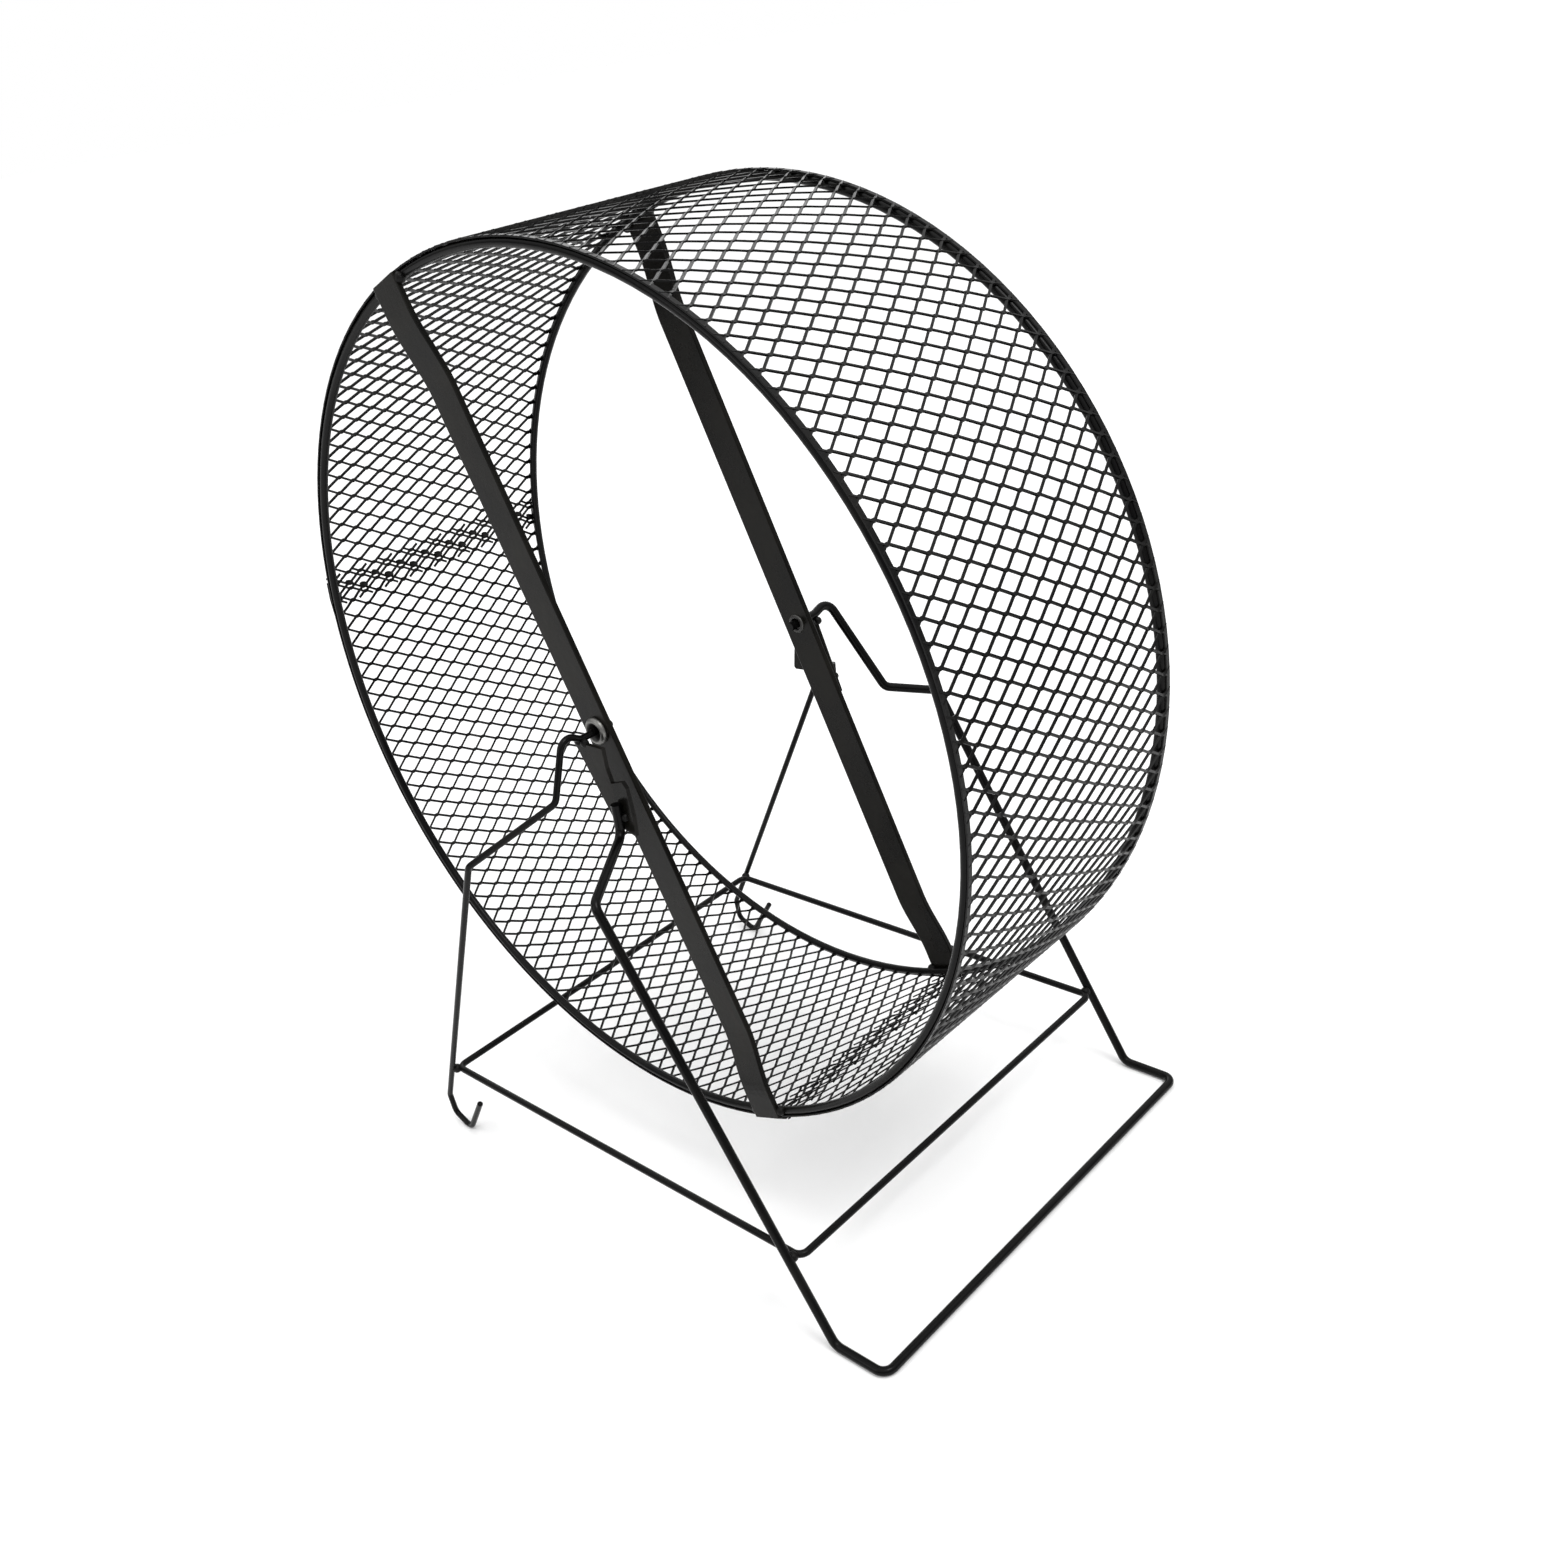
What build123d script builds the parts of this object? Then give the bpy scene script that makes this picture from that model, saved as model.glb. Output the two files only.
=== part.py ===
"""Free-standing rodent exercise wheel: an expanded mesh drum on a bent wire stand.

Millimetres. +Z is up, the axle runs along Y, and the foot bar is on the +X side.
The origin is on the floor, straight below the middle of the axle.
"""
import os
from math import cos, radians, sin

from build123d import *

# Wheel sizes
HOOP_RADIUS = 143.0  # axle to the centre of the hoop wire
HOOP_WIRE = 2.8  # diameter of the hoop wire
HOOP_SPACING = 98.0  # between the centres of the two hoops
MESH_THICKNESS = 0.8
MESH_EDGES = 100.8  # width of the running surface over its two edges
SEAM_LAP = 3.2  # degrees that the two mesh sheets share at a seam
LOW_SEAM = 292.0  # degrees from +X towards +Z
HIGH_SEAM = 169.0
JOG_LAND = 0.5  # degrees of bend where a lapped end steps outwards
SHEET_GAP = 0.12  # degrees between the stepped sheet and the end under it

# Expanded mesh pattern
STRAND = 3.2  # width of a strand
CELLS_ACROSS = 3  # cells across the running surface
CELLS_LONG = 28  # cells round the long sheet
CELLS_SHORT = 14  # cells round the short sheet
SELVAGE = 1.6  # solid strip along each edge of the mesh

# Spoke bar sizes
BAR_WIDTH = 12.7
BAR_THICKNESS = 2.0
BAR_ANGLE = 110.8  # degrees from +X towards +Z of the bar's upper end
BAR_FACE = 49.4  # middle of the wheel to the bar's outer face
BAR_STEP_START = 126.5  # radius where the bar's end begins to step outwards
BAR_STEP_END = 131.5
BAR_WELD = 1.9  # radius of a weld bead between bar and hoop

# Hub eyelet sizes
EYELET_BORE = 3.9
EYELET_TUBE = 5.2
EYELET_FLANGE = 9.2
EYELET_LIP = 6.8
EYELET_RISE = 2.0  # the flange stands this far out of the bar

# Stand wire sizes
FRAME_WIRE = 3.2
LEG_WIRE = 2.3
RING_WIRE = 2.6
WIRE_BEND = 4.0  # bend radius of the stand wires
RING_BEND = 3.5
PIN_END = 43.6  # middle of the wheel to the end of an axle pin

# Stand shape
AXLE_HEIGHT = 181.8
FOOT_BAR_X = 126.3
FOOT_BEND_X = 105.5
FOOT_HALF = 88.2  # half the length of the foot bar
RING_HEIGHT = 30.5
RING_FRONT = 92.3
RING_REAR = -92.3
RING_HALF = 84.5

# Hanger plate sizes
PLATE_MIDDLE = 56.5  # middle of the wheel to the middle of a plate
PLATE_THICKNESS = 1.5
WELD_BEAD = 1.5
RING_WELD = 1.95
BEAD_SIDE = 0.5  # a bead beside the thin wire keeps this far off it

# Sizes that follow from the ones above
HUB = Vector(0, 0, AXLE_HEIGHT)
HOOP_PLANE = HOOP_SPACING / 2
MESH_RADIUS = HOOP_RADIUS + HOOP_WIRE / 2
BAR_END_FACE = HOOP_PLANE + HOOP_WIRE / 2 + BAR_THICKNESS
PLATE_FACE = PLATE_MIDDLE + PLATE_THICKNESS / 2
CELL_LENGTH = (MESH_EDGES - 2 * SELVAGE) / CELLS_ACROSS
WIDEST_FOLD = 4.4  # degrees between two folds of the mesh, at most
FOLD_RADIUS = MESH_RADIUS / cos(radians(WIDEST_FOLD / 2))
FLOOR_Z = -AXLE_HEIGHT + FRAME_WIRE / 2


def from_axle(x, y, z):
    """Turn a place measured from the middle of the axle into one on the stand."""
    return (x, y, AXLE_HEIGHT + z)


def radial_plane(angle, y=0.0):
    """Plane whose x runs outwards at the angle, and whose y runs along the axle."""
    outwards = Vector(cos(radians(angle)), 0, sin(radians(angle)))
    return Plane(origin=(0, y, AXLE_HEIGHT), x_dir=outwards, z_dir=outwards.cross(Vector(0, 1, 0)))


def outward_plane(angle, y, radius):
    """Plane that lies on the drum, with its x along the axle and its normal outwards."""
    outwards = Vector(cos(radians(angle)), 0, sin(radians(angle)))
    return Plane(origin=HUB + outwards * radius + Vector(0, y, 0), x_dir=(0, 1, 0), z_dir=outwards)


def round_wheel():
    """Axle line, turned so that angles grow from +X towards +Z."""
    return Axis((0, 0, AXLE_HEIGHT), (0, -1, 0))


def sheet_outline(angles, layer):
    """End view of a mesh sheet, folded at each angle; layer 1 lies outside layer 0."""
    inner = FOLD_RADIUS + layer * MESH_THICKNESS
    corners = [(inner, angle) for angle in angles]
    corners += [(inner + MESH_THICKNESS, angle) for angle in reversed(angles)]
    return [(radius * cos(radians(angle)), radius * sin(radians(angle))) for radius, angle in corners]


def fold_angles(first, last, count):
    """Angles of the rows of openings: each row is centred on a fold of the sheet."""
    pitch = (last - first) / count
    return [first + pitch * row / 2 for row in range(2 * count + 1)]


def cell_size(first, last, count):
    """Half length and half height of one diamond opening, a strand smaller than its cell."""
    half_length = CELL_LENGTH / 2
    half_height = radians(last - first) / count / 2 * MESH_RADIUS
    edge_distance = half_length * half_height / (half_length**2 + half_height**2) ** 0.5
    opening = 1 - STRAND / 2 / edge_distance
    return half_length * opening, half_height * opening


def cell_places(first, last, count):
    """Planes of the whole openings: every second row has one cell fewer across."""
    places = []
    for row, angle in enumerate(fold_angles(first, last, count)[1:-1]):
        across = CELLS_ACROSS - row % 2
        for column in range(across):
            y = (column - (across - 1) / 2) * CELL_LENGTH
            places.append(outward_plane(angle, y, MESH_RADIUS))
    return places


def edge_places(first, last, count, side):
    """Planes of the half openings that the selvage cuts off along one edge."""
    angles = fold_angles(first, last, count)[2:-1:2]
    return [outward_plane(angle, side * (MESH_EDGES / 2 - SELVAGE), MESH_RADIUS) for angle in angles]


# Rim hoops
with BuildPart() as rim_hoop_near:
    with BuildSketch(radial_plane(0)):
        with Locations((HOOP_RADIUS, -HOOP_PLANE)):
            Circle(HOOP_WIRE / 2)
    revolve(axis=round_wheel())

with BuildPart() as rim_hoop_far:
    with BuildSketch(radial_plane(0)):
        with Locations((HOOP_RADIUS, HOOP_PLANE)):
            Circle(HOOP_WIRE / 2)
    revolve(axis=round_wheel())

# Long mesh sheet, from under the low seam round the front and top to under the high seam.
# Each strip between two rows of openings is flat, so its strands run as the real ones do.
WHEEL_END = Plane(origin=HUB + Vector(0, MESH_EDGES / 2, 0), x_dir=(1, 0, 0), z_dir=(0, -1, 0))
LONG_START = LOW_SEAM - SEAM_LAP / 2
LONG_END = HIGH_SEAM + 360 + SEAM_LAP / 2
LONG_OPEN = (LONG_START + SEAM_LAP, LONG_END - SEAM_LAP, CELLS_LONG)
long_a, long_b = cell_size(*LONG_OPEN)
with BuildPart() as tread_mesh_long:
    with BuildSketch(WHEEL_END):
        Polygon(*sheet_outline([LONG_START, *fold_angles(*LONG_OPEN), LONG_END], 0), align=None)
    extrude(amount=MESH_EDGES)
    with BuildSketch(*cell_places(*LONG_OPEN)):
        Polygon((long_a, 0), (0, long_b), (-long_a, 0), (0, -long_b), align=None)
    extrude(amount=3 * MESH_THICKNESS, both=True, mode=Mode.SUBTRACT)
    for side in (-1, 1):
        with BuildSketch(*edge_places(*LONG_OPEN, side)):
            Polygon((0, long_b), (-side * long_a, 0), (0, -long_b), align=None)
        extrude(amount=3 * MESH_THICKNESS, both=True, mode=Mode.SUBTRACT)

# Short mesh sheet, whose two ends step outwards over the long sheet
SHORT_START = HIGH_SEAM + SEAM_LAP / 2 + SHEET_GAP
SHORT_END = LOW_SEAM - SEAM_LAP / 2 - SHEET_GAP
SHORT_OPEN = (SHORT_START + JOG_LAND, SHORT_END - JOG_LAND, CELLS_SHORT)
HIGH_LAP = [HIGH_SEAM - SEAM_LAP / 2, HIGH_SEAM + SEAM_LAP / 2, SHORT_START, SHORT_START + JOG_LAND]
LOW_LAP = [SHORT_END - JOG_LAND, SHORT_END, LOW_SEAM - SEAM_LAP / 2, LOW_SEAM + SEAM_LAP / 2]
short_a, short_b = cell_size(*SHORT_OPEN)
with BuildPart() as tread_mesh_short:
    with BuildSketch(WHEEL_END):
        Polygon(*sheet_outline([SHORT_START, *fold_angles(*SHORT_OPEN), SHORT_END], 0), align=None)
        Polygon(*sheet_outline(HIGH_LAP, 1), align=None)
        Polygon(*sheet_outline(LOW_LAP, 1), align=None)
    extrude(amount=MESH_EDGES)
    with BuildSketch(*cell_places(*SHORT_OPEN)):
        Polygon((short_a, 0), (0, short_b), (-short_a, 0), (0, -short_b), align=None)
    extrude(amount=3 * MESH_THICKNESS, both=True, mode=Mode.SUBTRACT)
    for side in (-1, 1):
        with BuildSketch(*edge_places(*SHORT_OPEN, side)):
            Polygon((0, short_b), (-side * short_a, 0), (0, -short_b), align=None)
        extrude(amount=3 * MESH_THICKNESS, both=True, mode=Mode.SUBTRACT)

# Spoke bars, one across each hoop
BAR_SIDE = [
    (-MESH_RADIUS, BAR_END_FACE),
    (-BAR_STEP_END, BAR_END_FACE),
    (-BAR_STEP_START, BAR_FACE),
    (BAR_STEP_START, BAR_FACE),
    (BAR_STEP_END, BAR_END_FACE),
    (MESH_RADIUS, BAR_END_FACE),
]
with BuildPart() as spoke_bar_far:
    with BuildSketch(radial_plane(BAR_ANGLE)):
        with BuildLine():
            inner_side = [(radius, y - BAR_THICKNESS) for radius, y in reversed(BAR_SIDE)]
            Polyline(*BAR_SIDE, *inner_side, close=True)
        make_face()
    extrude(amount=BAR_WIDTH / 2, both=True)
    with BuildSketch(Plane(origin=HUB, x_dir=(1, 0, 0), z_dir=(0, 1, 0))):
        Circle(EYELET_TUBE / 2)
    extrude(amount=HOOP_SPACING, mode=Mode.SUBTRACT)

with BuildPart() as spoke_bar_near:
    add(spoke_bar_far.part.mirror(Plane.XZ))

# Hub eyelets, rolled over both faces of each bar
EYELET_INNER_FACE = BAR_FACE - BAR_THICKNESS
with BuildPart() as hub_eyelet_far:
    with BuildSketch(radial_plane(0)):
        with BuildLine():
            Polyline(
                (EYELET_TUBE / 2, BAR_FACE),
                (EYELET_TUBE / 2, EYELET_INNER_FACE),
                (EYELET_LIP / 2, EYELET_INNER_FACE),
                (EYELET_LIP / 2 - 0.5, EYELET_INNER_FACE - 0.8),
                (EYELET_BORE / 2, EYELET_INNER_FACE - 0.8),
                (EYELET_BORE / 2, BAR_FACE + EYELET_RISE),
                (EYELET_BORE / 2 + 0.7, BAR_FACE + EYELET_RISE),
            )
            ThreePointArc(
                (EYELET_BORE / 2 + 0.7, BAR_FACE + EYELET_RISE),
                (EYELET_FLANGE / 2 - 0.6, BAR_FACE + 0.62 * EYELET_RISE),
                (EYELET_FLANGE / 2, BAR_FACE),
            )
            Line((EYELET_FLANGE / 2, BAR_FACE), (EYELET_TUBE / 2, BAR_FACE))
        make_face()
    revolve(axis=round_wheel())

with BuildPart() as hub_eyelet_near:
    add(hub_eyelet_far.part.mirror(Plane.XZ))

# Weld beads on both sides of each bar end, where it lies on the hoop
BEAD_RADIUS = MESH_RADIUS - BAR_WELD - 0.3  # just inside the mesh
with BuildPart() as spoke_welds_far:
    for end in (-1, 1):
        for side in (-1, 1):
            bead_plane = radial_plane(BAR_ANGLE)
            bead_place = bead_plane.from_local_coords(
                Vector(end * BEAD_RADIUS, BAR_END_FACE - BAR_THICKNESS, side * BAR_WIDTH / 2)
            )
            with Locations(bead_place):
                Sphere(BAR_WELD)

with BuildPart() as spoke_welds_near:
    add(spoke_welds_far.part.mirror(Plane.XZ))

# Front frame: far pin, far leg, foot bar and near leg in one wire
FRAME_ROUTE = [
    from_axle(0, PIN_END, 0),
    from_axle(0, 57.0, 0),
    from_axle(0, 64.4, 2.5),
    from_axle(17.2, 71.5, -31.0),
    from_axle(29.3, 87.0, -36.6),
    from_axle(FOOT_BEND_X, FOOT_HALF, FLOOR_Z),
    from_axle(FOOT_BAR_X, FOOT_HALF, FLOOR_Z),
    from_axle(FOOT_BAR_X, -FOOT_HALF, FLOOR_Z),
    from_axle(FOOT_BEND_X, -FOOT_HALF, FLOOR_Z),
    from_axle(29.3, -87.0, -36.6),
    from_axle(13.0, -PLATE_FACE - FRAME_WIRE / 2, -30.0),
    from_axle(13.4, -PLATE_FACE - FRAME_WIRE / 2, -19.0),
]
with BuildPart() as front_frame_wire:
    with BuildLine() as frame_line:
        FilletPolyline(*FRAME_ROUTE, radius=WIRE_BEND)
    with BuildSketch(Plane(origin=frame_line.line @ 0, z_dir=frame_line.line % 0)):
        Circle(FRAME_WIRE / 2)
    sweep(path=frame_line.line)

# Rear legs: each ends in a hooked foot, and the near one carries the near axle pin
HOOK_ROUND = 1.3  # the rounded bottom of a hook is this far above the corner of its runs
HOOK_BOTTOM_Z = -AXLE_HEIGHT + LEG_WIRE / 2 - HOOK_ROUND
HOOK_ROUTE = [
    (-80.5, 86.6, HOOK_BOTTOM_Z + 18.15),
    (-93.5, 86.6, HOOK_BOTTOM_Z),
    (-102.4, 86.6, HOOK_BOTTOM_Z + 4.45),
    (-102.9, 86.6, HOOK_BOTTOM_Z + 13.45),
    (-31.0, 90.4, -38.1),
]
NEAR_ROUTE = [from_axle(x, -y, z) for x, y, z in HOOK_ROUTE] + [
    from_axle(-0.4, -71.5, -16.0),
    from_axle(0, -63.5, 4.2),
    from_axle(0, -56.5, 0),
    from_axle(0, -PIN_END, 0),
]
with BuildPart() as rear_leg_near:
    with BuildLine() as near_line:
        FilletPolyline(*NEAR_ROUTE, radius=WIRE_BEND)
    with BuildSketch(Plane(origin=near_line.line @ 0, z_dir=near_line.line % 0)):
        Circle(LEG_WIRE / 2)
    sweep(path=near_line.line)

FAR_ROUTE = [from_axle(*place) for place in HOOK_ROUTE] + [
    from_axle(4.0, PLATE_FACE + LEG_WIRE / 2, -31.0),
    from_axle(4.6, PLATE_FACE + LEG_WIRE / 2, -18.5),
]
with BuildPart() as rear_leg_far:
    with BuildLine() as far_line:
        FilletPolyline(*FAR_ROUTE, radius=WIRE_BEND)
    with BuildSketch(Plane(origin=far_line.line @ 0, z_dir=far_line.line % 0)):
        Circle(LEG_WIRE / 2)
    sweep(path=far_line.line)

# Base ring, level between the four legs
RING_CORNERS = [
    (RING_REAR, -RING_HALF, RING_HEIGHT),
    (RING_FRONT, -RING_HALF, RING_HEIGHT),
    (RING_FRONT, RING_HALF, RING_HEIGHT),
    (RING_REAR, RING_HALF, RING_HEIGHT),
]
with BuildPart() as base_ring:
    with BuildLine() as ring_line:
        FilletPolyline(*RING_CORNERS, radius=RING_BEND, close=True)
    ring_path = ring_line.wire()
    with BuildSketch(Plane(origin=ring_path @ 0, z_dir=ring_path % 0)):
        Circle(RING_WIRE / 2)
    sweep(path=ring_path)

# Hanger plates: the same notched plate, one turned half a turn
NEAR_PLATE_TOP = -LEG_WIRE / 2
PLATE_OUTLINE = [
    (-2.9, NEAR_PLATE_TOP),
    (9.6, -27.6),
    (18.2, -30.3),
    (18.7, -23.3),
    (18.2, -13.2),
    (16.7, -11.2),
    (11.4, -12.9),
    (10.3, -8.0),
    (10.3, NEAR_PLATE_TOP),
]
FAR_PLATE_TURN = (9.9, -29.37)  # brings the turned plate's wide end under the far pin
with BuildPart() as hanger_plate_near:
    with BuildSketch(Plane(origin=from_axle(0, -PLATE_MIDDLE, 0), x_dir=(1, 0, 0), z_dir=(0, -1, 0))):
        Polygon(*PLATE_OUTLINE, align=None)
    extrude(amount=PLATE_THICKNESS / 2, both=True)

with BuildPart() as hanger_plate_far:
    with BuildSketch(Plane(origin=from_axle(0, PLATE_MIDDLE, 0), x_dir=(1, 0, 0), z_dir=(0, -1, 0))):
        Polygon(
            *[(FAR_PLATE_TURN[0] - x, FAR_PLATE_TURN[1] - z) for x, z in PLATE_OUTLINE], align=None
        )
    extrude(amount=PLATE_THICKNESS / 2, both=True)

# Welds of the stand
with BuildPart() as base_ring_welds:
    for side in (-1, 1):
        with Locations((RING_REAR + 0.2, side * (RING_HALF + 1.0), RING_HEIGHT)):
            Sphere(RING_WELD)
        with Locations((RING_FRONT - 2.4, side * (RING_HALF + 1.4), RING_HEIGHT)):
            Sphere(RING_WELD)

with BuildPart() as hanger_welds_near:
    with Locations(
        from_axle(-1.5, -PLATE_MIDDLE, NEAR_PLATE_TOP),
        from_axle(1.5, -PLATE_MIDDLE, NEAR_PLATE_TOP),
        from_axle(13.2 - FRAME_WIRE / 2, -PLATE_FACE, -24.0),
        from_axle(13.2 + FRAME_WIRE / 2, -PLATE_FACE, -24.0),
    ):
        Sphere(WELD_BEAD)

with BuildPart() as hanger_welds_far:
    with Locations(
        from_axle(-2.0, PLATE_MIDDLE, -1.0),
        from_axle(1.8, PLATE_MIDDLE, -2.0),
        from_axle(4.4 - LEG_WIRE / 2 - BEAD_SIDE, PLATE_FACE, -23.0),
        from_axle(4.4 + LEG_WIRE / 2 + BEAD_SIDE, PLATE_FACE, -23.0),
    ):
        Sphere(WELD_BEAD)

# One STEP file for each piece
PIECES = {
    "rim_hoop_near": rim_hoop_near,
    "rim_hoop_far": rim_hoop_far,
    "tread_mesh_long": tread_mesh_long,
    "tread_mesh_short": tread_mesh_short,
    "spoke_bar_near": spoke_bar_near,
    "spoke_bar_far": spoke_bar_far,
    "hub_eyelet_near": hub_eyelet_near,
    "hub_eyelet_far": hub_eyelet_far,
    "spoke_welds_near": spoke_welds_near,
    "spoke_welds_far": spoke_welds_far,
    "front_frame_wire": front_frame_wire,
    "rear_leg_near": rear_leg_near,
    "rear_leg_far": rear_leg_far,
    "base_ring": base_ring,
    "hanger_plate_near": hanger_plate_near,
    "hanger_plate_far": hanger_plate_far,
    "base_ring_welds": base_ring_welds,
    "hanger_welds_near": hanger_welds_near,
    "hanger_welds_far": hanger_welds_far,
}
os.makedirs("parts", exist_ok=True)
for name, piece in PIECES.items():
    piece.part.label = name
    export_step(piece.part, f"parts/{name}.step")
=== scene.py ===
from math import cos, pi, radians, sin

import bmesh
import bpy
from mathutils import Matrix, Vector, noise


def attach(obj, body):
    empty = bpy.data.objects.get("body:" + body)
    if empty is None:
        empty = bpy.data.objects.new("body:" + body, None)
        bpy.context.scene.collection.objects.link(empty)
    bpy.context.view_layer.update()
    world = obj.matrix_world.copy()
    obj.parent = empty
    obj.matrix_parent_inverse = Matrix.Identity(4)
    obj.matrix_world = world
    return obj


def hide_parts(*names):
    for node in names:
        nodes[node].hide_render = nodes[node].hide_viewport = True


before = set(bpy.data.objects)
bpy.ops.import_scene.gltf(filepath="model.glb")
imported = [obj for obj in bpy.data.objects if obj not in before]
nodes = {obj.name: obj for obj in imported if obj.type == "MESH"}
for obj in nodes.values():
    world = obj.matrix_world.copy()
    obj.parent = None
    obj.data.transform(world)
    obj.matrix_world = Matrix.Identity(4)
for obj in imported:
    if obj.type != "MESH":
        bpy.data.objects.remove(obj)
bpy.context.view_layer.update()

# Studio: a plain white paper floor that the stand rests on, in a room that is bright overhead
# and dark at the sides. The camera sees white all round; the glossy paint sees the room.
FLOOR_HALF = 40.0
FLOOR_WHITE = 0.97
BACKDROP_WHITE = 1.0
ROOM_AT_SIDES = 0.1
ROOM_OVERHEAD = 1.6


def linked_object(name, data):
    """A mesh, lamp or camera as an object of the scene, at the origin until it is placed."""
    thing = bpy.data.objects.new(name, data)
    bpy.context.scene.collection.objects.link(thing)
    return thing


floor_paper = bpy.data.materials.new("floor_paper")
floor_paper.use_nodes = True
floor_shader = floor_paper.node_tree.nodes["Principled BSDF"]
floor_shader.inputs["Base Color"].default_value = (FLOOR_WHITE, FLOOR_WHITE, FLOOR_WHITE, 1.0)
floor_shader.inputs["Roughness"].default_value = 0.9
floor_shader.inputs["Specular IOR Level"].default_value = 0.1

floor_mesh = bpy.data.meshes.new("studio_floor")
floor_corners = [(x * FLOOR_HALF, y * FLOOR_HALF, 0) for x, y in ((-1, -1), (1, -1), (1, 1), (-1, 1))]
floor_mesh.from_pydata(floor_corners, [], [(0, 1, 2, 3)])
floor_mesh.materials.append(floor_paper)
studio_floor = linked_object("studio_floor", floor_mesh)

studio_world = bpy.data.worlds.new("studio_world")
studio_world.use_nodes = True
world_tree = studio_world.node_tree
world_direction = world_tree.nodes.new("ShaderNodeTexCoord")
world_height = world_tree.nodes.new("ShaderNodeSeparateXYZ")
world_room = world_tree.nodes.new("ShaderNodeMapRange")
world_room.inputs["To Min"].default_value = ROOM_AT_SIDES
world_room.inputs["To Max"].default_value = ROOM_OVERHEAD
world_ray = world_tree.nodes.new("ShaderNodeLightPath")
world_seen = world_tree.nodes.new("ShaderNodeMix")
world_seen.inputs["B"].default_value = BACKDROP_WHITE
for start, end in (
    (world_direction.outputs["Generated"], world_height.inputs["Vector"]),
    (world_height.outputs["Z"], world_room.inputs["Value"]),
    (world_ray.outputs["Is Camera Ray"], world_seen.inputs["Factor"]),
    (world_room.outputs["Result"], world_seen.inputs["A"]),
    (world_seen.outputs["Result"], world_tree.nodes["Background"].inputs["Strength"]),
):
    world_tree.links.new(start, end)
world_tree.nodes["Background"].inputs["Color"].default_value = (1.0, 1.0, 1.0, 1.0)
bpy.context.scene.world = studio_world
bpy.context.scene.view_settings.view_transform = "Standard"

# Softboxes: a bright one above the front of the wheel, which lights the near hoop's shoulder,
# and two weaker ones, left of the camera and behind. Each gives its place, size and power.
SOFTBOXES = {
    "above_front": ((0.75, -0.1, 1.45), 0.5, 7.0),
    "camera_left": ((-0.4, -1.3, 0.7), 0.6, 2.5),
    "behind": ((-1.2, 1.0, 1.0), 0.7, 3.0),
}
SOFTBOX_TARGET = (0, 0, 0.15)

for name, (place, size, power) in SOFTBOXES.items():
    lamp = bpy.data.lights.new("softbox_" + name, "AREA")
    lamp.shape = "SQUARE"
    lamp.size = size
    lamp.energy = power
    softbox = linked_object("softbox_" + name, lamp)
    softbox.location = place
    softbox.rotation_euler = (Vector(SOFTBOX_TARGET) - Vector(place)).to_track_quat("-Z", "Y").to_euler()

# Camera at the photograph's place: close, above the axle, and rolled to one side.
CAMERA_PLACE = (0.3466, -0.30884, 0.36261)
CAMERA_TURN = (57.7905, 8.6496, 43.4451)
CAMERA_LENS = 33.473
CAMERA_SHIFT = (0.02505, 0.10391)

camera_data = bpy.data.cameras.new("photo_camera")
camera_data.sensor_width = 36.0
camera_data.lens = CAMERA_LENS
camera_data.shift_x, camera_data.shift_y = CAMERA_SHIFT
camera_data.clip_start = 0.01
photo_camera = linked_object("photo_camera", camera_data)
photo_camera.location = CAMERA_PLACE
photo_camera.rotation_euler = [radians(turn) for turn in CAMERA_TURN]
bpy.context.scene.camera = photo_camera

# Black enamel: every steel piece but the eyelets is dipped or sprayed in one glossy coat.
# The coat is a little uneven, gathers in soft waves, and has a few dull dusty patches.
PATCH_SCALE = 55.0
PATCH_DETAIL = 5.0
WORN_RANGE = (0.42, 0.72)  # patch noise over which the colour turns from coat to worn
DULL_RANGE = (0.3, 0.75)  # patch noise over which the roughness goes from low to high
WAVE_DETAIL = 3.0
WAVE_DEPTH = 0.0002


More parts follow.
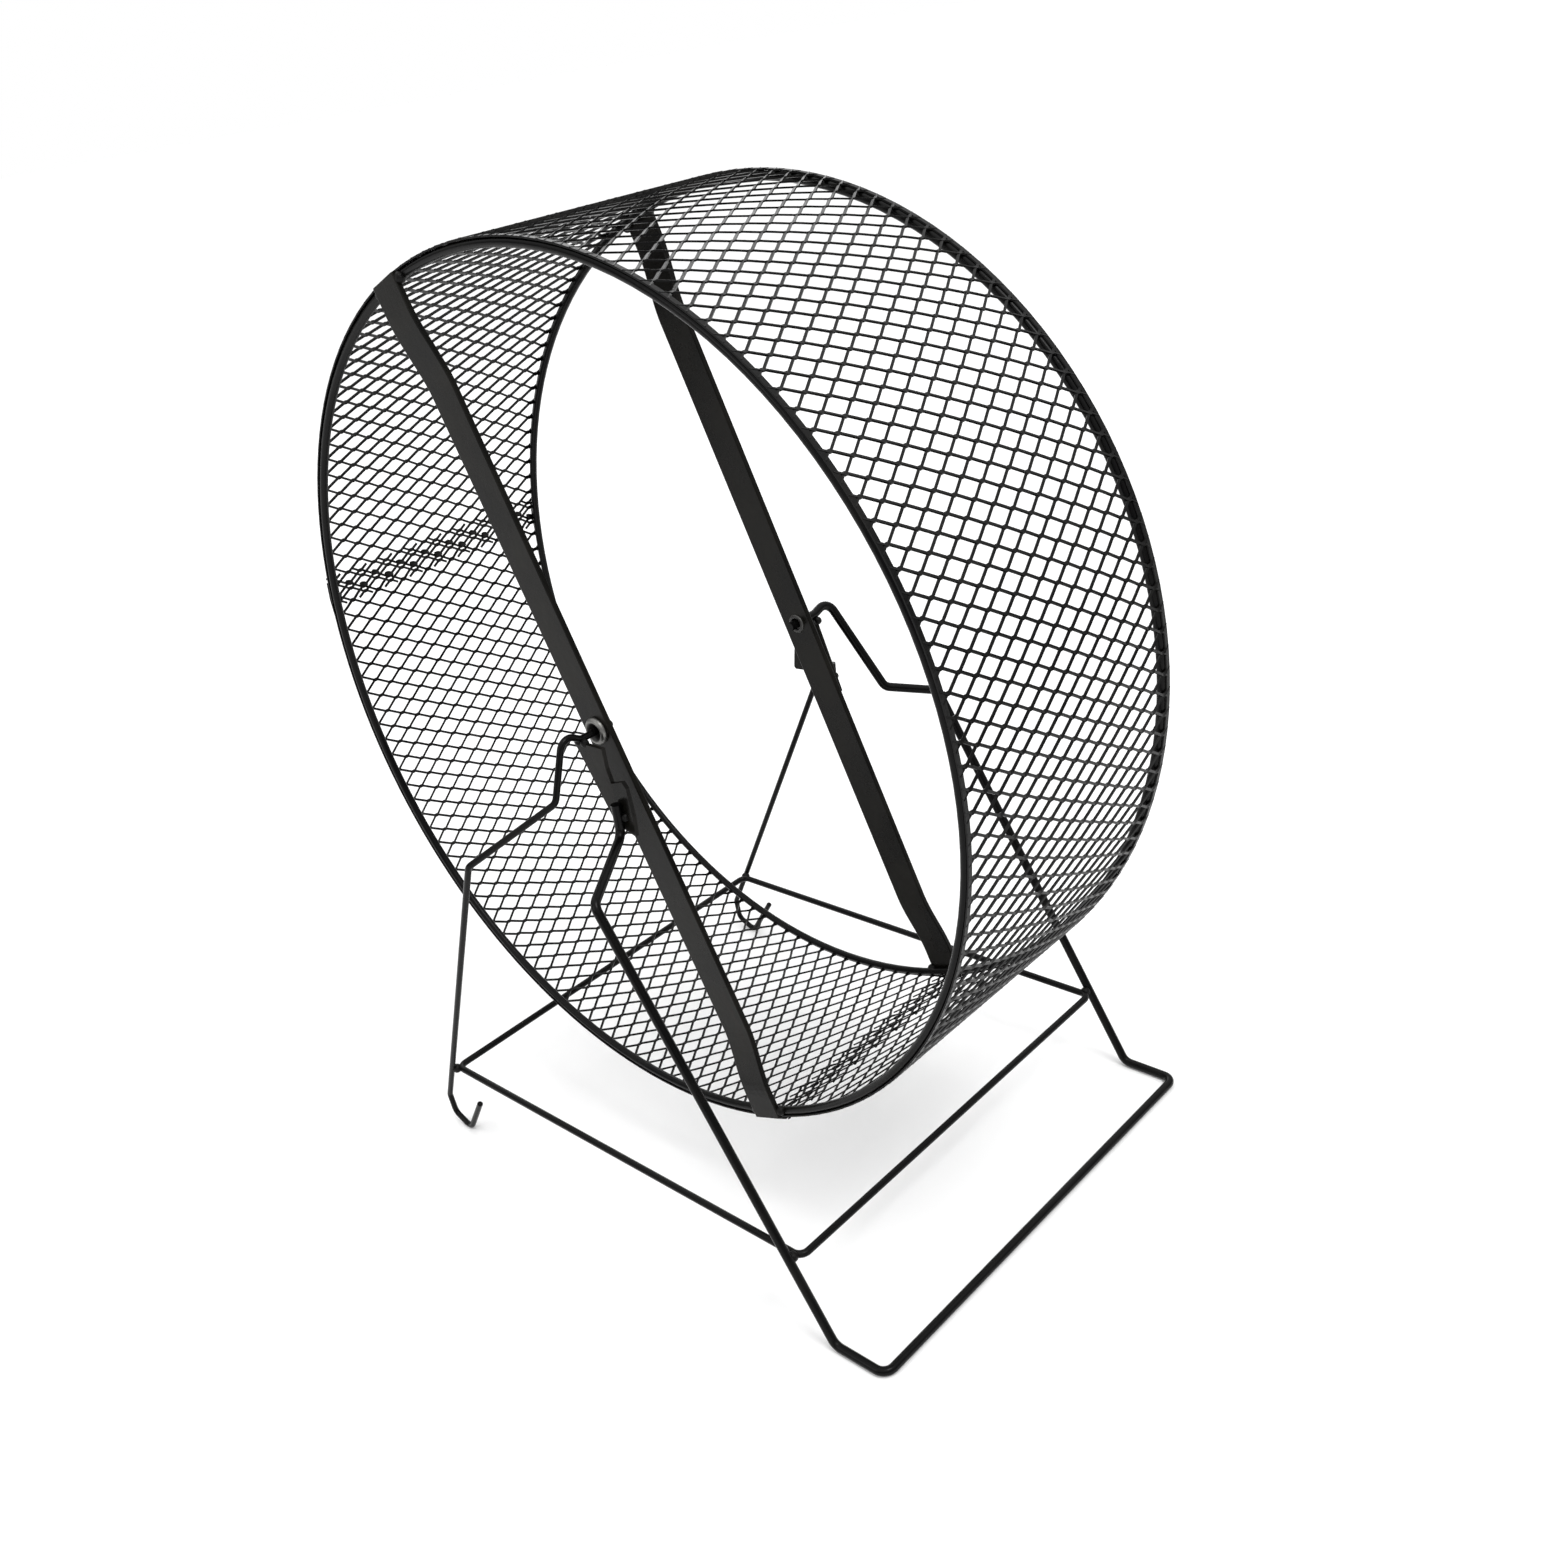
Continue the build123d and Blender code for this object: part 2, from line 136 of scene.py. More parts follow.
def enamel_surface_group():
    """Shader group that gives the coat's colour, roughness and fine waves."""
    group = bpy.data.node_groups.new("enamel_surface", "ShaderNodeTree")
    for name, kind, side in (
        ("Coat Colour", "NodeSocketColor", "INPUT"),
        ("Worn Colour", "NodeSocketColor", "INPUT"),
        ("Low Roughness", "NodeSocketFloat", "INPUT"),
        ("High Roughness", "NodeSocketFloat", "INPUT"),
        ("Grain Scale", "NodeSocketFloat", "INPUT"),
        ("Wave Height", "NodeSocketFloat", "INPUT"),
        ("Colour", "NodeSocketColor", "OUTPUT"),
        ("Roughness", "NodeSocketFloat", "OUTPUT"),
        ("Normal", "NodeSocketVector", "OUTPUT"),
    ):
        group.interface.new_socket(name, in_out=side, socket_type=kind)
    add = group.nodes.new
    link = group.links.new
    inputs = add("NodeGroupInput")
    outputs = add("NodeGroupOutput")
    place = add("ShaderNodeTexCoord")
    patches = add("ShaderNodeTexNoise")
    patches.inputs["Scale"].default_value = PATCH_SCALE
    patches.inputs["Detail"].default_value = PATCH_DETAIL
    link(place.outputs["Object"], patches.inputs["Vector"])
    spread = add("ShaderNodeMapRange")
    spread.inputs["From Min"].default_value = WORN_RANGE[0]
    spread.inputs["From Max"].default_value = WORN_RANGE[1]
    link(patches.outputs["Fac"], spread.inputs["Value"])
    tint = add("ShaderNodeMix")
    tint.data_type = "RGBA"
    link(spread.outputs["Result"], tint.inputs["Factor"])
    link(inputs.outputs["Coat Colour"], tint.inputs["A"])
    link(inputs.outputs["Worn Colour"], tint.inputs["B"])
    link(tint.outputs["Result"], outputs.inputs["Colour"])
    dull = add("ShaderNodeMapRange")
    dull.inputs["From Min"].default_value = DULL_RANGE[0]
    dull.inputs["From Max"].default_value = DULL_RANGE[1]
    link(patches.outputs["Fac"], dull.inputs["Value"])
    link(inputs.outputs["Low Roughness"], dull.inputs["To Min"])
    link(inputs.outputs["High Roughness"], dull.inputs["To Max"])
    link(dull.outputs["Result"], outputs.inputs["Roughness"])
    grain = add("ShaderNodeTexNoise")
    grain.inputs["Detail"].default_value = WAVE_DETAIL
    link(place.outputs["Object"], grain.inputs["Vector"])
    link(inputs.outputs["Grain Scale"], grain.inputs["Scale"])
    bump = add("ShaderNodeBump")
    bump.inputs["Distance"].default_value = WAVE_DEPTH
    link(inputs.outputs["Wave Height"], bump.inputs["Strength"])
    link(grain.outputs["Fac"], bump.inputs["Height"])
    link(bump.outputs["Normal"], outputs.inputs["Normal"])
    return group


ENAMEL_SURFACE = enamel_surface_group()


def enamel(name, coat, worn, roughness, grain, wave, shine):
    """Glossy black paint with its own colours, roughness range, waves and strength of gloss."""
    paint = bpy.data.materials.new(name)
    paint.use_nodes = True
    tree = paint.node_tree
    shader = tree.nodes["Principled BSDF"]
    surface = tree.nodes.new("ShaderNodeGroup")
    surface.node_tree = ENAMEL_SURFACE
    for label, value in {
        "Coat Colour": (*coat, 1.0),
        "Worn Colour": (*worn, 1.0),
        "Low Roughness": roughness[0],
        "High Roughness": roughness[1],
        "Grain Scale": grain,
        "Wave Height": wave,
    }.items():
        surface.inputs[label].default_value = value
    tree.links.new(surface.outputs["Colour"], shader.inputs["Base Color"])
    tree.links.new(surface.outputs["Roughness"], shader.inputs["Roughness"])
    tree.links.new(surface.outputs["Normal"], shader.inputs["Normal"])
    shader.inputs["Specular IOR Level"].default_value = shine
    return paint


def paint_node(name, material):
    """Give a carried-over solid its finish."""
    slots = nodes[name].data.materials
    if len(slots):
        for index in range(len(slots)):
            slots[index] = material
    else:
        slots.append(material)


# Rim hoops and stand wires: drawn steel wire, bent cold and butt welded, then painted black.
# They ride on the bodies that the solids belong to.
wire_enamel = enamel(
    "wire_enamel", coat=(0.0016, 0.0016, 0.0017), worn=(0.004, 0.0037, 0.0034),
    roughness=(0.16, 0.34), grain=700.0, wave=0.18, shine=0.12,
)
for piece in (
    "rim_hoop_near", "rim_hoop_far", "front_frame_wire", "rear_leg_near", "rear_leg_far", "base_ring",
):
    paint_node(piece, wire_enamel)

# Spoke bars: one flat steel strip across each hoop, sheared to length, its two ends cranked
# outwards in a soft bend and welded down on the hoop. The wide faces show the coat's waves.
AXLE_HEIGHT = 0.1818
BAR_WIDTH = 0.0127
BAR_THICKNESS = 0.002
BAR_CORNER = 0.0004
BAR_ANGLE = radians(110.8)
BAR_REACH = 0.1443  # axle to each end
BAR_FACE = 0.0494  # middle of the wheel to the outer face
BAR_HUB = 0.02  # half length of the plain stretch that the hole is cut in
CRANK_STEP = 0.003  # outwards, between the two distances that follow
CRANK_START = 0.110
CRANK_END = 0.135
CRANK_CUTS = 14
HOLE_RADIUS = 0.0026
HOLE_SEGMENTS = 48
DRILL_LENGTH = 0.02

strip_enamel = enamel(
    "strip_enamel", coat=(0.0034, 0.0032, 0.0027), worn=(0.008, 0.0072, 0.0055),
    roughness=(0.2, 0.34), grain=260.0, wave=0.3, shine=0.12,
)


def join_rings(shape, ring, following):
    """Faces all round between two rings that have as many points each."""
    for index in range(len(ring)):
        after = (index + 1) % len(ring)
        shape.faces.new((ring[index], ring[after], following[after], following[index]))


def shaped_object(name, shape, material=None, smooth=False):
    """Finished bmesh geometry as an object of the scene."""
    for face in shape.faces:
        face.smooth = smooth
    mesh = bpy.data.meshes.new(name)
    shape.to_mesh(mesh)
    shape.free()
    if material:
        mesh.materials.append(material)
    return linked_object(name, mesh)


def applied_mesh(name, source):
    """The mesh that an object shows once its modifiers have run."""
    bpy.context.view_layer.update()
    depsgraph = bpy.context.evaluated_depsgraph_get()
    mesh = bpy.data.meshes.new_from_object(source.evaluated_get(depsgraph))
    mesh.name = name
    return mesh


def spoke_bar(name, node, side):
    """A strip with rounded edges, swept along its length, with the rivet's hole cut at the hub."""
    section = []
    for corner_u, corner_v, first in ((1, 1, 0), (-1, 1, 90), (-1, -1, 180), (1, -1, 270)):
        for turn in (first, first + 45, first + 90):
            section.append((
                corner_u * (BAR_WIDTH / 2 - BAR_CORNER) + BAR_CORNER * cos(radians(turn)),
                corner_v * (BAR_THICKNESS / 2 - BAR_CORNER) + BAR_CORNER * sin(radians(turn)),
            ))
    crank = [CRANK_START + (CRANK_END - CRANK_START) * cut / CRANK_CUTS for cut in range(CRANK_CUTS + 1)]
    inwards = [-place for place in reversed(crank)]
    stations = [-BAR_REACH] + inwards + [-BAR_HUB, BAR_HUB] + crank + [BAR_REACH]
    strip = bmesh.new()
    rings = []
    for out in stations:
        share = min(max((abs(out) - CRANK_START) / (CRANK_END - CRANK_START), 0.0), 1.0)
        middle = BAR_FACE - BAR_THICKNESS / 2 + CRANK_STEP * share * share * (3 - 2 * share)
        rings.append([
            strip.verts.new((
                out * cos(BAR_ANGLE) - across * sin(BAR_ANGLE),
                side * (middle + through),
                AXLE_HEIGHT + out * sin(BAR_ANGLE) + across * cos(BAR_ANGLE),
            ))
            for across, through in section
        ])
    for ring, following in zip(rings, rings[1:]):
        join_rings(strip, ring, following)
    strip.faces.new(rings[0])
    strip.faces.new(rings[-1])
    bmesh.ops.recalc_face_normals(strip, faces=strip.faces)
    blank = shaped_object(name + "_blank", strip, strip_enamel)
    cutter = bmesh.new()
    bmesh.ops.create_cone(
        cutter, cap_ends=True, segments=HOLE_SEGMENTS, radius1=HOLE_RADIUS, radius2=HOLE_RADIUS,
        depth=DRILL_LENGTH,
        matrix=Matrix.Translation((0, side * BAR_FACE, AXLE_HEIGHT)) @ Matrix.Rotation(pi / 2, 4, "X"),
    )
    drill = shaped_object(name + "_drill", cutter)
    hole = blank.modifiers.new("rivet_hole", "BOOLEAN")
    hole.object = drill
    hole.solver = "EXACT"
    drilled = applied_mesh(name, blank)
    for thing in (blank, drill):
        bpy.data.objects.remove(thing)
    bar = linked_object(name, drilled)
    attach(bar, "wheel")
    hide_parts(node)


spoke_bar("cranked_bar_near", "spoke_bar_near", -1)
spoke_bar("cranked_bar_far", "spoke_bar_far", 1)

# Hanger plates: notched steel sheet, stamped, painted with the rest. The far one shows its
# notched tab past the bar, so it is cut anew here to the photographed outline.
paint_node("hanger_plate_near", strip_enamel)

FAR_PLATE_OUTLINE = (  # millimetres from the axle line, along X and up, from the lower right corner
    (9.2, -28.2), (0.9, -1.6), (-8.3, 0.9), (-9.2, -6.1), (-11.4, -15.3), (-12.6, -21.6), (-11.9, -22.6),
    (-8.2, -22.4), (-7.4, -21.4), (-6.5, -17.6), (-1.5, -18.5), (-0.4, -21.4), (-0.4, -28.2),
)
PLATE_FACES = (0.05575, 0.05725)  # near and far face, along the axle
PLATE_EDGE = 0.00025

plate = bmesh.new()
near_face, far_face = [
    [plate.verts.new((x / 1000, place, AXLE_HEIGHT + z / 1000)) for x, z in FAR_PLATE_OUTLINE]
    for place in PLATE_FACES
]
plate.faces.new(near_face)
plate.faces.new(far_face)
join_rings(plate, near_face, far_face)
bmesh.ops.recalc_face_normals(plate, faces=plate.faces)
bmesh.ops.bevel(plate, geom=plate.edges, offset=PLATE_EDGE, segments=2, affect="EDGES", profile=0.5)
notched_plate = shaped_object("notched_plate_far", plate, strip_enamel)
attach(notched_plate, "stand")
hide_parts("hanger_plate_far")

# Weld beads: small arc welds under the paint, rough and rippled where the wire met the strip.
weld_enamel = enamel(
    "weld_enamel", coat=(0.002, 0.002, 0.002), worn=(0.006, 0.0055, 0.005),
    roughness=(0.25, 0.45), grain=1500.0, wave=0.6, shine=0.14,
)
MERGE_WITHIN = 0.00001  # points closer than this become one
BEAD_ROUNDING = 0.7
RIPPLE_HEIGHT = 0.00016
RIPPLE_SCALE = 2600.0


def weld_beads(name, node, body):
    """The welds of one solid as uneven beads: its mesh merged, divided once and pushed about."""
    beads = bmesh.new()
    beads.from_mesh(nodes[node].data)
    bmesh.ops.remove_doubles(beads, verts=beads.verts, dist=MERGE_WITHIN)
    bmesh.ops.subdivide_edges(beads, edges=beads.edges, cuts=1, use_grid_fill=True, smooth=BEAD_ROUNDING)
    beads.normal_update()
    for point in beads.verts:
        ripple = RIPPLE_HEIGHT * (0.5 + 0.5 * noise.noise(point.co * RIPPLE_SCALE))
        point.co = point.co - point.normal * ripple
    piece = shaped_object(name, beads, weld_enamel, smooth=True)
    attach(piece, body)
    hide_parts(node)


weld_beads("bead_welds_bar_near", "spoke_welds_near", "wheel")
weld_beads("bead_welds_bar_far", "spoke_welds_far", "wheel")
weld_beads("bead_welds_ring", "base_ring_welds", "stand")
weld_beads("bead_welds_hanger_near", "hanger_welds_near", "stand")
weld_beads("bead_welds_hanger_far", "hanger_welds_far", "stand")

# Hub eyelets: plated tubular rivets rolled over both faces of a bar, left bare.
# The rolled rim is light grey and satin; a painted shade, dark and not metallic, fills the mouth of the
# bore.
EYELET_PROFILE = (  # millimetres: out from the axle line, and along it from the middle of the wheel
    (4.55, 49.42), (4.60, 49.80), (4.52, 50.25), (4.28, 50.72), (3.92, 51.05), (3.50, 51.20), (3.12, 51.08),
    (2.82, 50.75), (2.52, 50.15), (2.22, 49.50), (2.02, 48.80), (1.95, 47.80), (1.97, 46.95), (2.15, 46.68),
    (2.50, 46.62), (2.90, 46.70), (3.22, 46.95), (3.38, 47.38), (2.58, 47.38), (2.58, 49.42),
)
EYELET_SEGMENTS = 56
RIVET_LIGHT = (0.26, 0.26, 0.25, 1.0)
RIVET_DARK = (0.15, 0.147, 0.138, 1.0)
# Colour of the painted shade in the mouth of the bore, standing in for the recess's shadow.
RIVET_BORE_SHADE = (0.012, 0.011, 0.010, 1.0)
BORE_SHADE_RADII = (0.0029, 0.0036)  # the painted shade in the bore ends between these distances from the axle line
RIVET_ROUGHNESS = (0.3, 0.5)

rivet_metal = bpy.data.materials.new("rivet_metal")
rivet_metal.use_nodes = True
rivet_tree = rivet_metal.node_tree
rivet_shader = rivet_tree.nodes["Principled BSDF"]
rivet_place = rivet_tree.nodes.new("ShaderNodeTexCoord")
rivet_noise = rivet_tree.nodes.new("ShaderNodeTexNoise")
rivet_noise.inputs["Scale"].default_value = 420.0
rivet_noise.inputs["Detail"].default_value = 4.0
rivet_tint = rivet_tree.nodes.new("ShaderNodeMix")
rivet_tint.data_type = "RGBA"
rivet_tint.inputs["A"].default_value = RIVET_LIGHT
rivet_tint.inputs["B"].default_value = RIVET_DARK
rivet_from_axle = rivet_tree.nodes.new("ShaderNodeMapping")
rivet_from_axle.inputs["Location"].default_value = (0.0, 0.0, -AXLE_HEIGHT)
rivet_from_axle.inputs["Scale"].default_value = (1.0, 0.0, 1.0)
rivet_radius = rivet_tree.nodes.new("ShaderNodeVectorMath")
rivet_radius.operation = "LENGTH"
# Mask of the painted shade in the bore: full near the axle line, gone past the outer radius; it also turns
# the metallic look off there.
rivet_bore_shade = rivet_tree.nodes.new("ShaderNodeMapRange")
rivet_bore_shade.interpolation_type = "SMOOTHSTEP"
rivet_bore_shade.inputs["From Min"].default_value = BORE_SHADE_RADII[0]
rivet_bore_shade.inputs["From Max"].default_value = BORE_SHADE_RADII[1]
rivet_colour = rivet_tree.nodes.new("ShaderNodeMix")
rivet_colour.data_type = "RGBA"
rivet_colour.inputs["A"].default_value = RIVET_BORE_SHADE
rivet_rough = rivet_tree.nodes.new("ShaderNodeMapRange")
rivet_rough.inputs["To Min"].default_value = RIVET_ROUGHNESS[0]
rivet_rough.inputs["To Max"].default_value = RIVET_ROUGHNESS[1]
rivet_bump = rivet_tree.nodes.new("ShaderNodeBump")
rivet_bump.inputs["Distance"].default_value = 0.0001
rivet_bump.inputs["Strength"].default_value = 0.3
for start, end in (
    (rivet_place.outputs["Object"], rivet_noise.inputs["Vector"]),
    (rivet_place.outputs["Object"], rivet_from_axle.inputs["Vector"]),
    (rivet_from_axle.outputs["Vector"], rivet_radius.inputs[0]),
    (rivet_radius.outputs["Value"], rivet_bore_shade.inputs["Value"]),
    (rivet_bore_shade.outputs["Result"], rivet_colour.inputs["Factor"]),
    (rivet_bore_shade.outputs["Result"], rivet_shader.inputs["Metallic"]),
    (rivet_noise.outputs["Fac"], rivet_tint.inputs["Factor"]),
    (rivet_noise.outputs["Fac"], rivet_rough.inputs["Value"]),
    (rivet_noise.outputs["Fac"], rivet_bump.inputs["Height"]),
    (rivet_tint.outputs["Result"], rivet_colour.inputs["B"]),
    (rivet_colour.outputs["Result"], rivet_shader.inputs["Base Color"]),
    (rivet_rough.outputs["Result"], rivet_shader.inputs["Roughness"]),
    (rivet_bump.outputs["Normal"], rivet_shader.inputs["Normal"]),
):
    rivet_tree.links.new(start, end)

for piece, node, side in (
    ("rolled_eyelet_near", "hub_eyelet_near", -1),
    ("rolled_eyelet_far", "hub_eyelet_far", 1),
):
    eyelet = bmesh.new()
    rings = []
    for step in range(EYELET_SEGMENTS):
        turn = 2 * pi * step / EYELET_SEGMENTS
        rings.append([
            eyelet.verts.new((
                out * cos(turn) / 1000,
                side * along / 1000,
                AXLE_HEIGHT + out * sin(turn) / 1000,
            ))
            for out, along in EYELET_PROFILE
        ])
    for ring, following in zip(rings, rings[1:] + rings[:1]):
        join_rings(eyelet, ring, following)
    bmesh.ops.recalc_face_normals(eyelet, faces=eyelet.faces)
    rolled = shaped_object(piece, eyelet, rivet_metal, smooth=True)
    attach(rolled, "wheel")
    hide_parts(node)

# Running surface: two sheets of expanded steel mesh wrapped round the hoops, lapped at two seams.
# Strands cross at every knuckle of a staggered lattice; the sheets ride on the wheel.
MESH_MIDDLE = 0.14472  # axle to the middle of the sheet
CELL_LENGTH = 0.0118  # along the axle
CELL_HEIGHT = 0.00648  # round the wheel
CELLS_ACROSS = 8
KNUCKLE_LENGTH = 0.0009
KNUCKLE_SPREAD = 1.6  # knuckle width over strand width
STRAND_WIDTH = 0.0008
STRAND_THICKNESS = 0.0005
STRAND_TILT = 18.0  # degrees
STRAND_OVERLAP = 1.06  # strand length over the gap that it spans
EDGE_OUTSIDE = 0.0504  # middle of the wheel to the edge of the sheet
EDGE_WIDTH = 0.0016
LOW_SEAM = 292.0  # degrees round the axle, as are the next two
HIGH_SEAM = 169.0
LAP = 3.2
LAP_LIFT = 0.00085
LAP_STEP = 0.003  # length over which a lifted end comes down to the hoop

mesh_enamel = enamel(
    "mesh_enamel", coat=(0.0022, 0.0022, 0.0023), worn=(0.006, 0.0056, 0.005),
    roughness=(0.22, 0.42), grain=1200.0, wave=0.3, shine=0.14,
)


def expanded_mesh_tree():
    """Geometry nodes that lay strands on a lattice and wrap the sheet round the axle."""
    tree = bpy.data.node_groups.new("expanded_mesh_sheet", "GeometryNodeTree")
    ids = {}
    for name, kind in (
        ("Sheet Length", "NodeSocketFloat"),
        ("Cells Round", "NodeSocketInt"),
        ("Cells Across", "NodeSocketInt"),
        ("Cell Length", "NodeSocketFloat"),
        ("Strand Width", "NodeSocketFloat"),
        ("Strand Thickness", "NodeSocketFloat"),
        ("Strand Tilt", "NodeSocketFloat"),
        ("Knuckle Length", "NodeSocketFloat"),
        ("Edge Width", "NodeSocketFloat"),
        ("Edge Outside", "NodeSocketFloat"),
        ("Radius", "NodeSocketFloat"),
        ("Start Angle", "NodeSocketFloat"),
        ("Axle Height", "NodeSocketFloat"),
        ("Lap Length", "NodeSocketFloat"),
        ("Lap Lift", "NodeSocketFloat"),
    ):
        ids[name] = tree.interface.new_socket(name, in_out="INPUT", socket_type=kind).identifier
    tree.interface.new_socket("Geometry", in_out="OUTPUT", socket_type="NodeSocketGeometry")
    link = tree.links.new
    inputs = tree.nodes.new("NodeGroupInput").outputs
    outputs = tree.nodes.new("NodeGroupOutput").inputs

    def feed(socket, value):
        if isinstance(value, bpy.types.NodeSocket):
            link(value, socket)
        else:
            socket.default_value = value

    def math(operation, *values):
        node = tree.nodes.new("ShaderNodeMath")
        node.operation = operation
        for index, value in enumerate(values):
            feed(node.inputs[index], value)
        return node.outputs[0]

    def vector(x, y, z):
        node = tree.nodes.new("ShaderNodeCombineXYZ")
        for index, value in enumerate((x, y, z)):
            feed(node.inputs[index], value)
        return node.outputs[0]

    def joined(*geometries):
        node = tree.nodes.new("GeometryNodeJoinGeometry")
        for geometry in reversed(geometries):
            link(geometry, node.inputs[0])
        return node.outputs[0]

    def lattice(size_x, size_y, count_x, count_y):
        node = tree.nodes.new("GeometryNodeMeshGrid")
        feed(node.inputs["Size X"], size_x)
        feed(node.inputs["Size Y"], size_y)
        feed(node.inputs["Vertices X"], count_x)
        feed(node.inputs["Vertices Y"], count_y)
        return node.outputs["Mesh"]

    def bar(size, turn, move, count_x=2):
        cube = tree.nodes.new("GeometryNodeMeshCube")
        feed(cube.inputs["Size"], size)
        feed(cube.inputs["Vertices X"], count_x)
        place = tree.nodes.new("GeometryNodeTransform")
        link(cube.outputs["Mesh"], place.inputs["Geometry"])
        feed(place.inputs["Translation"], move)
        if turn is not None:
            feed(place.inputs["Rotation"], turn)
        return place.outputs["Geometry"]

    pitch = math("DIVIDE", inputs["Sheet Length"], inputs["Cells Round"])
    width = math("MULTIPLY", inputs["Cell Length"], inputs["Cells Across"])
    knuckles = lattice(
        inputs["Sheet Length"],
        width,
        math("ADD", inputs["Cells Round"], 1.0),
        math("ADD", inputs["Cells Across"], 1.0),
    )
    staggered = lattice(
        math("SUBTRACT", inputs["Sheet Length"], pitch),
        math("SUBTRACT", width, inputs["Cell Length"]),
        inputs["Cells Round"],
        inputs["Cells Across"],
    )
    quarter_pitch = math("MULTIPLY", pitch, 0.25)
    quarter_length = math("MULTIPLY", inputs["Cell Length"], 0.25)
    half_knuckle = math("MULTIPLY", inputs["Knuckle Length"], 0.5)
    run = math("SUBTRACT", quarter_length, half_knuckle)
    lean = math("ARCTAN2", quarter_pitch, run)
    reach = math("SQRT", math("ADD", math("POWER", quarter_pitch, 2.0), math("POWER", run, 2.0)))
    arm_size = vector(
        inputs["Strand Width"],
        math("MULTIPLY", reach, STRAND_OVERLAP),
        inputs["Strand Thickness"],
    )
    knuckle_size = vector(
        math("MULTIPLY", inputs["Strand Width"], KNUCKLE_SPREAD),
        inputs["Knuckle Length"],
        inputs["Strand Thickness"],
    )
    pieces = [bar(knuckle_size, vector(0.0, inputs["Strand Tilt"], 0.0), vector(0.0, 0.0, 0.0))]
    for across in (-1.0, 1.0):
        for round_wheel in (-1.0, 1.0):
            pieces.append(bar(
                arm_size,
                vector(0.0, inputs["Strand Tilt"], math("MULTIPLY", lean, -across * round_wheel)),
                vector(
                    math("MULTIPLY", quarter_pitch, 0.5 * round_wheel),
                    math("MULTIPLY", math("ADD", half_knuckle, quarter_length), 0.5 * across),
                    0.0,
                ),
            ))
    cross = joined(*pieces)
    strands = tree.nodes.new("GeometryNodeInstanceOnPoints")
    link(joined(knuckles, staggered), strands.inputs["Points"])
    link(cross, strands.inputs["Instance"])
    edge_place = math("SUBTRACT", inputs["Edge Outside"], math("MULTIPLY", inputs["Edge Width"], 0.5))
    edge_size = vector(inputs["Sheet Length"], inputs["Edge Width"], inputs["Strand Thickness"])
    edge_count = math("ADD", inputs["Cells Round"], 1.0)
    edges = joined(
        bar(edge_size, None, vector(0.0, edge_place, 0.0), edge_count),
        bar(edge_size, None, vector(0.0, math("MULTIPLY", edge_place, -1.0), 0.0), edge_count),
    )
    flat = tree.nodes.new("GeometryNodeRealizeInstances")
    link(joined(strands.outputs["Instances"], edges), flat.inputs["Geometry"])

    where = tree.nodes.new("ShaderNodeSeparateXYZ")
    link(tree.nodes.new("GeometryNodeInputPosition").outputs[0], where.inputs[0])
    along = math("ADD", where.outputs["X"], math("MULTIPLY", inputs["Sheet Length"], 0.5))
    from_end = math("MINIMUM", along, math("SUBTRACT", inputs["Sheet Length"], along))
    step = tree.nodes.new("ShaderNodeMapRange")
    step.interpolation_type = "SMOOTHSTEP"
    link(from_end, step.inputs["Value"])
    link(inputs["Lap Length"], step.inputs["From Min"])
    link(math("ADD", inputs["Lap Length"], LAP_STEP), step.inputs["From Max"])
    step.inputs["To Min"].default_value = 1.0
    step.inputs["To Max"].default_value = 0.0
    lift = math("MULTIPLY", step.outputs["Result"], inputs["Lap Lift"])
    radius = math("ADD", math("ADD", inputs["Radius"], where.outputs["Z"]), lift)
    angle = math("ADD", math("DIVIDE", along, inputs["Radius"]), inputs["Start Angle"])
    wrapped = vector(
        math("MULTIPLY", radius, math("COSINE", angle)),
        where.outputs["Y"],
        math("ADD", math("MULTIPLY", radius, math("SINE", angle)), inputs["Axle Height"]),
    )
    wrap = tree.nodes.new("GeometryNodeSetPosition")
    link(flat.outputs["Geometry"], wrap.inputs["Geometry"])
    link(wrapped, wrap.inputs["Position"])
    outwards = tree.nodes.new("GeometryNodeFlipFaces")
    link(wrap.outputs["Geometry"], outwards.inputs["Mesh"])
    finish = tree.nodes.new("GeometryNodeSetMaterial")
    finish.inputs["Material"].default_value = mesh_enamel
    link(outwards.outputs["Mesh"], finish.inputs["Geometry"])
    link(finish.outputs["Geometry"], outputs["Geometry"])
    return tree, ids


MESH_TREE, MESH_INPUTS = expanded_mesh_tree()


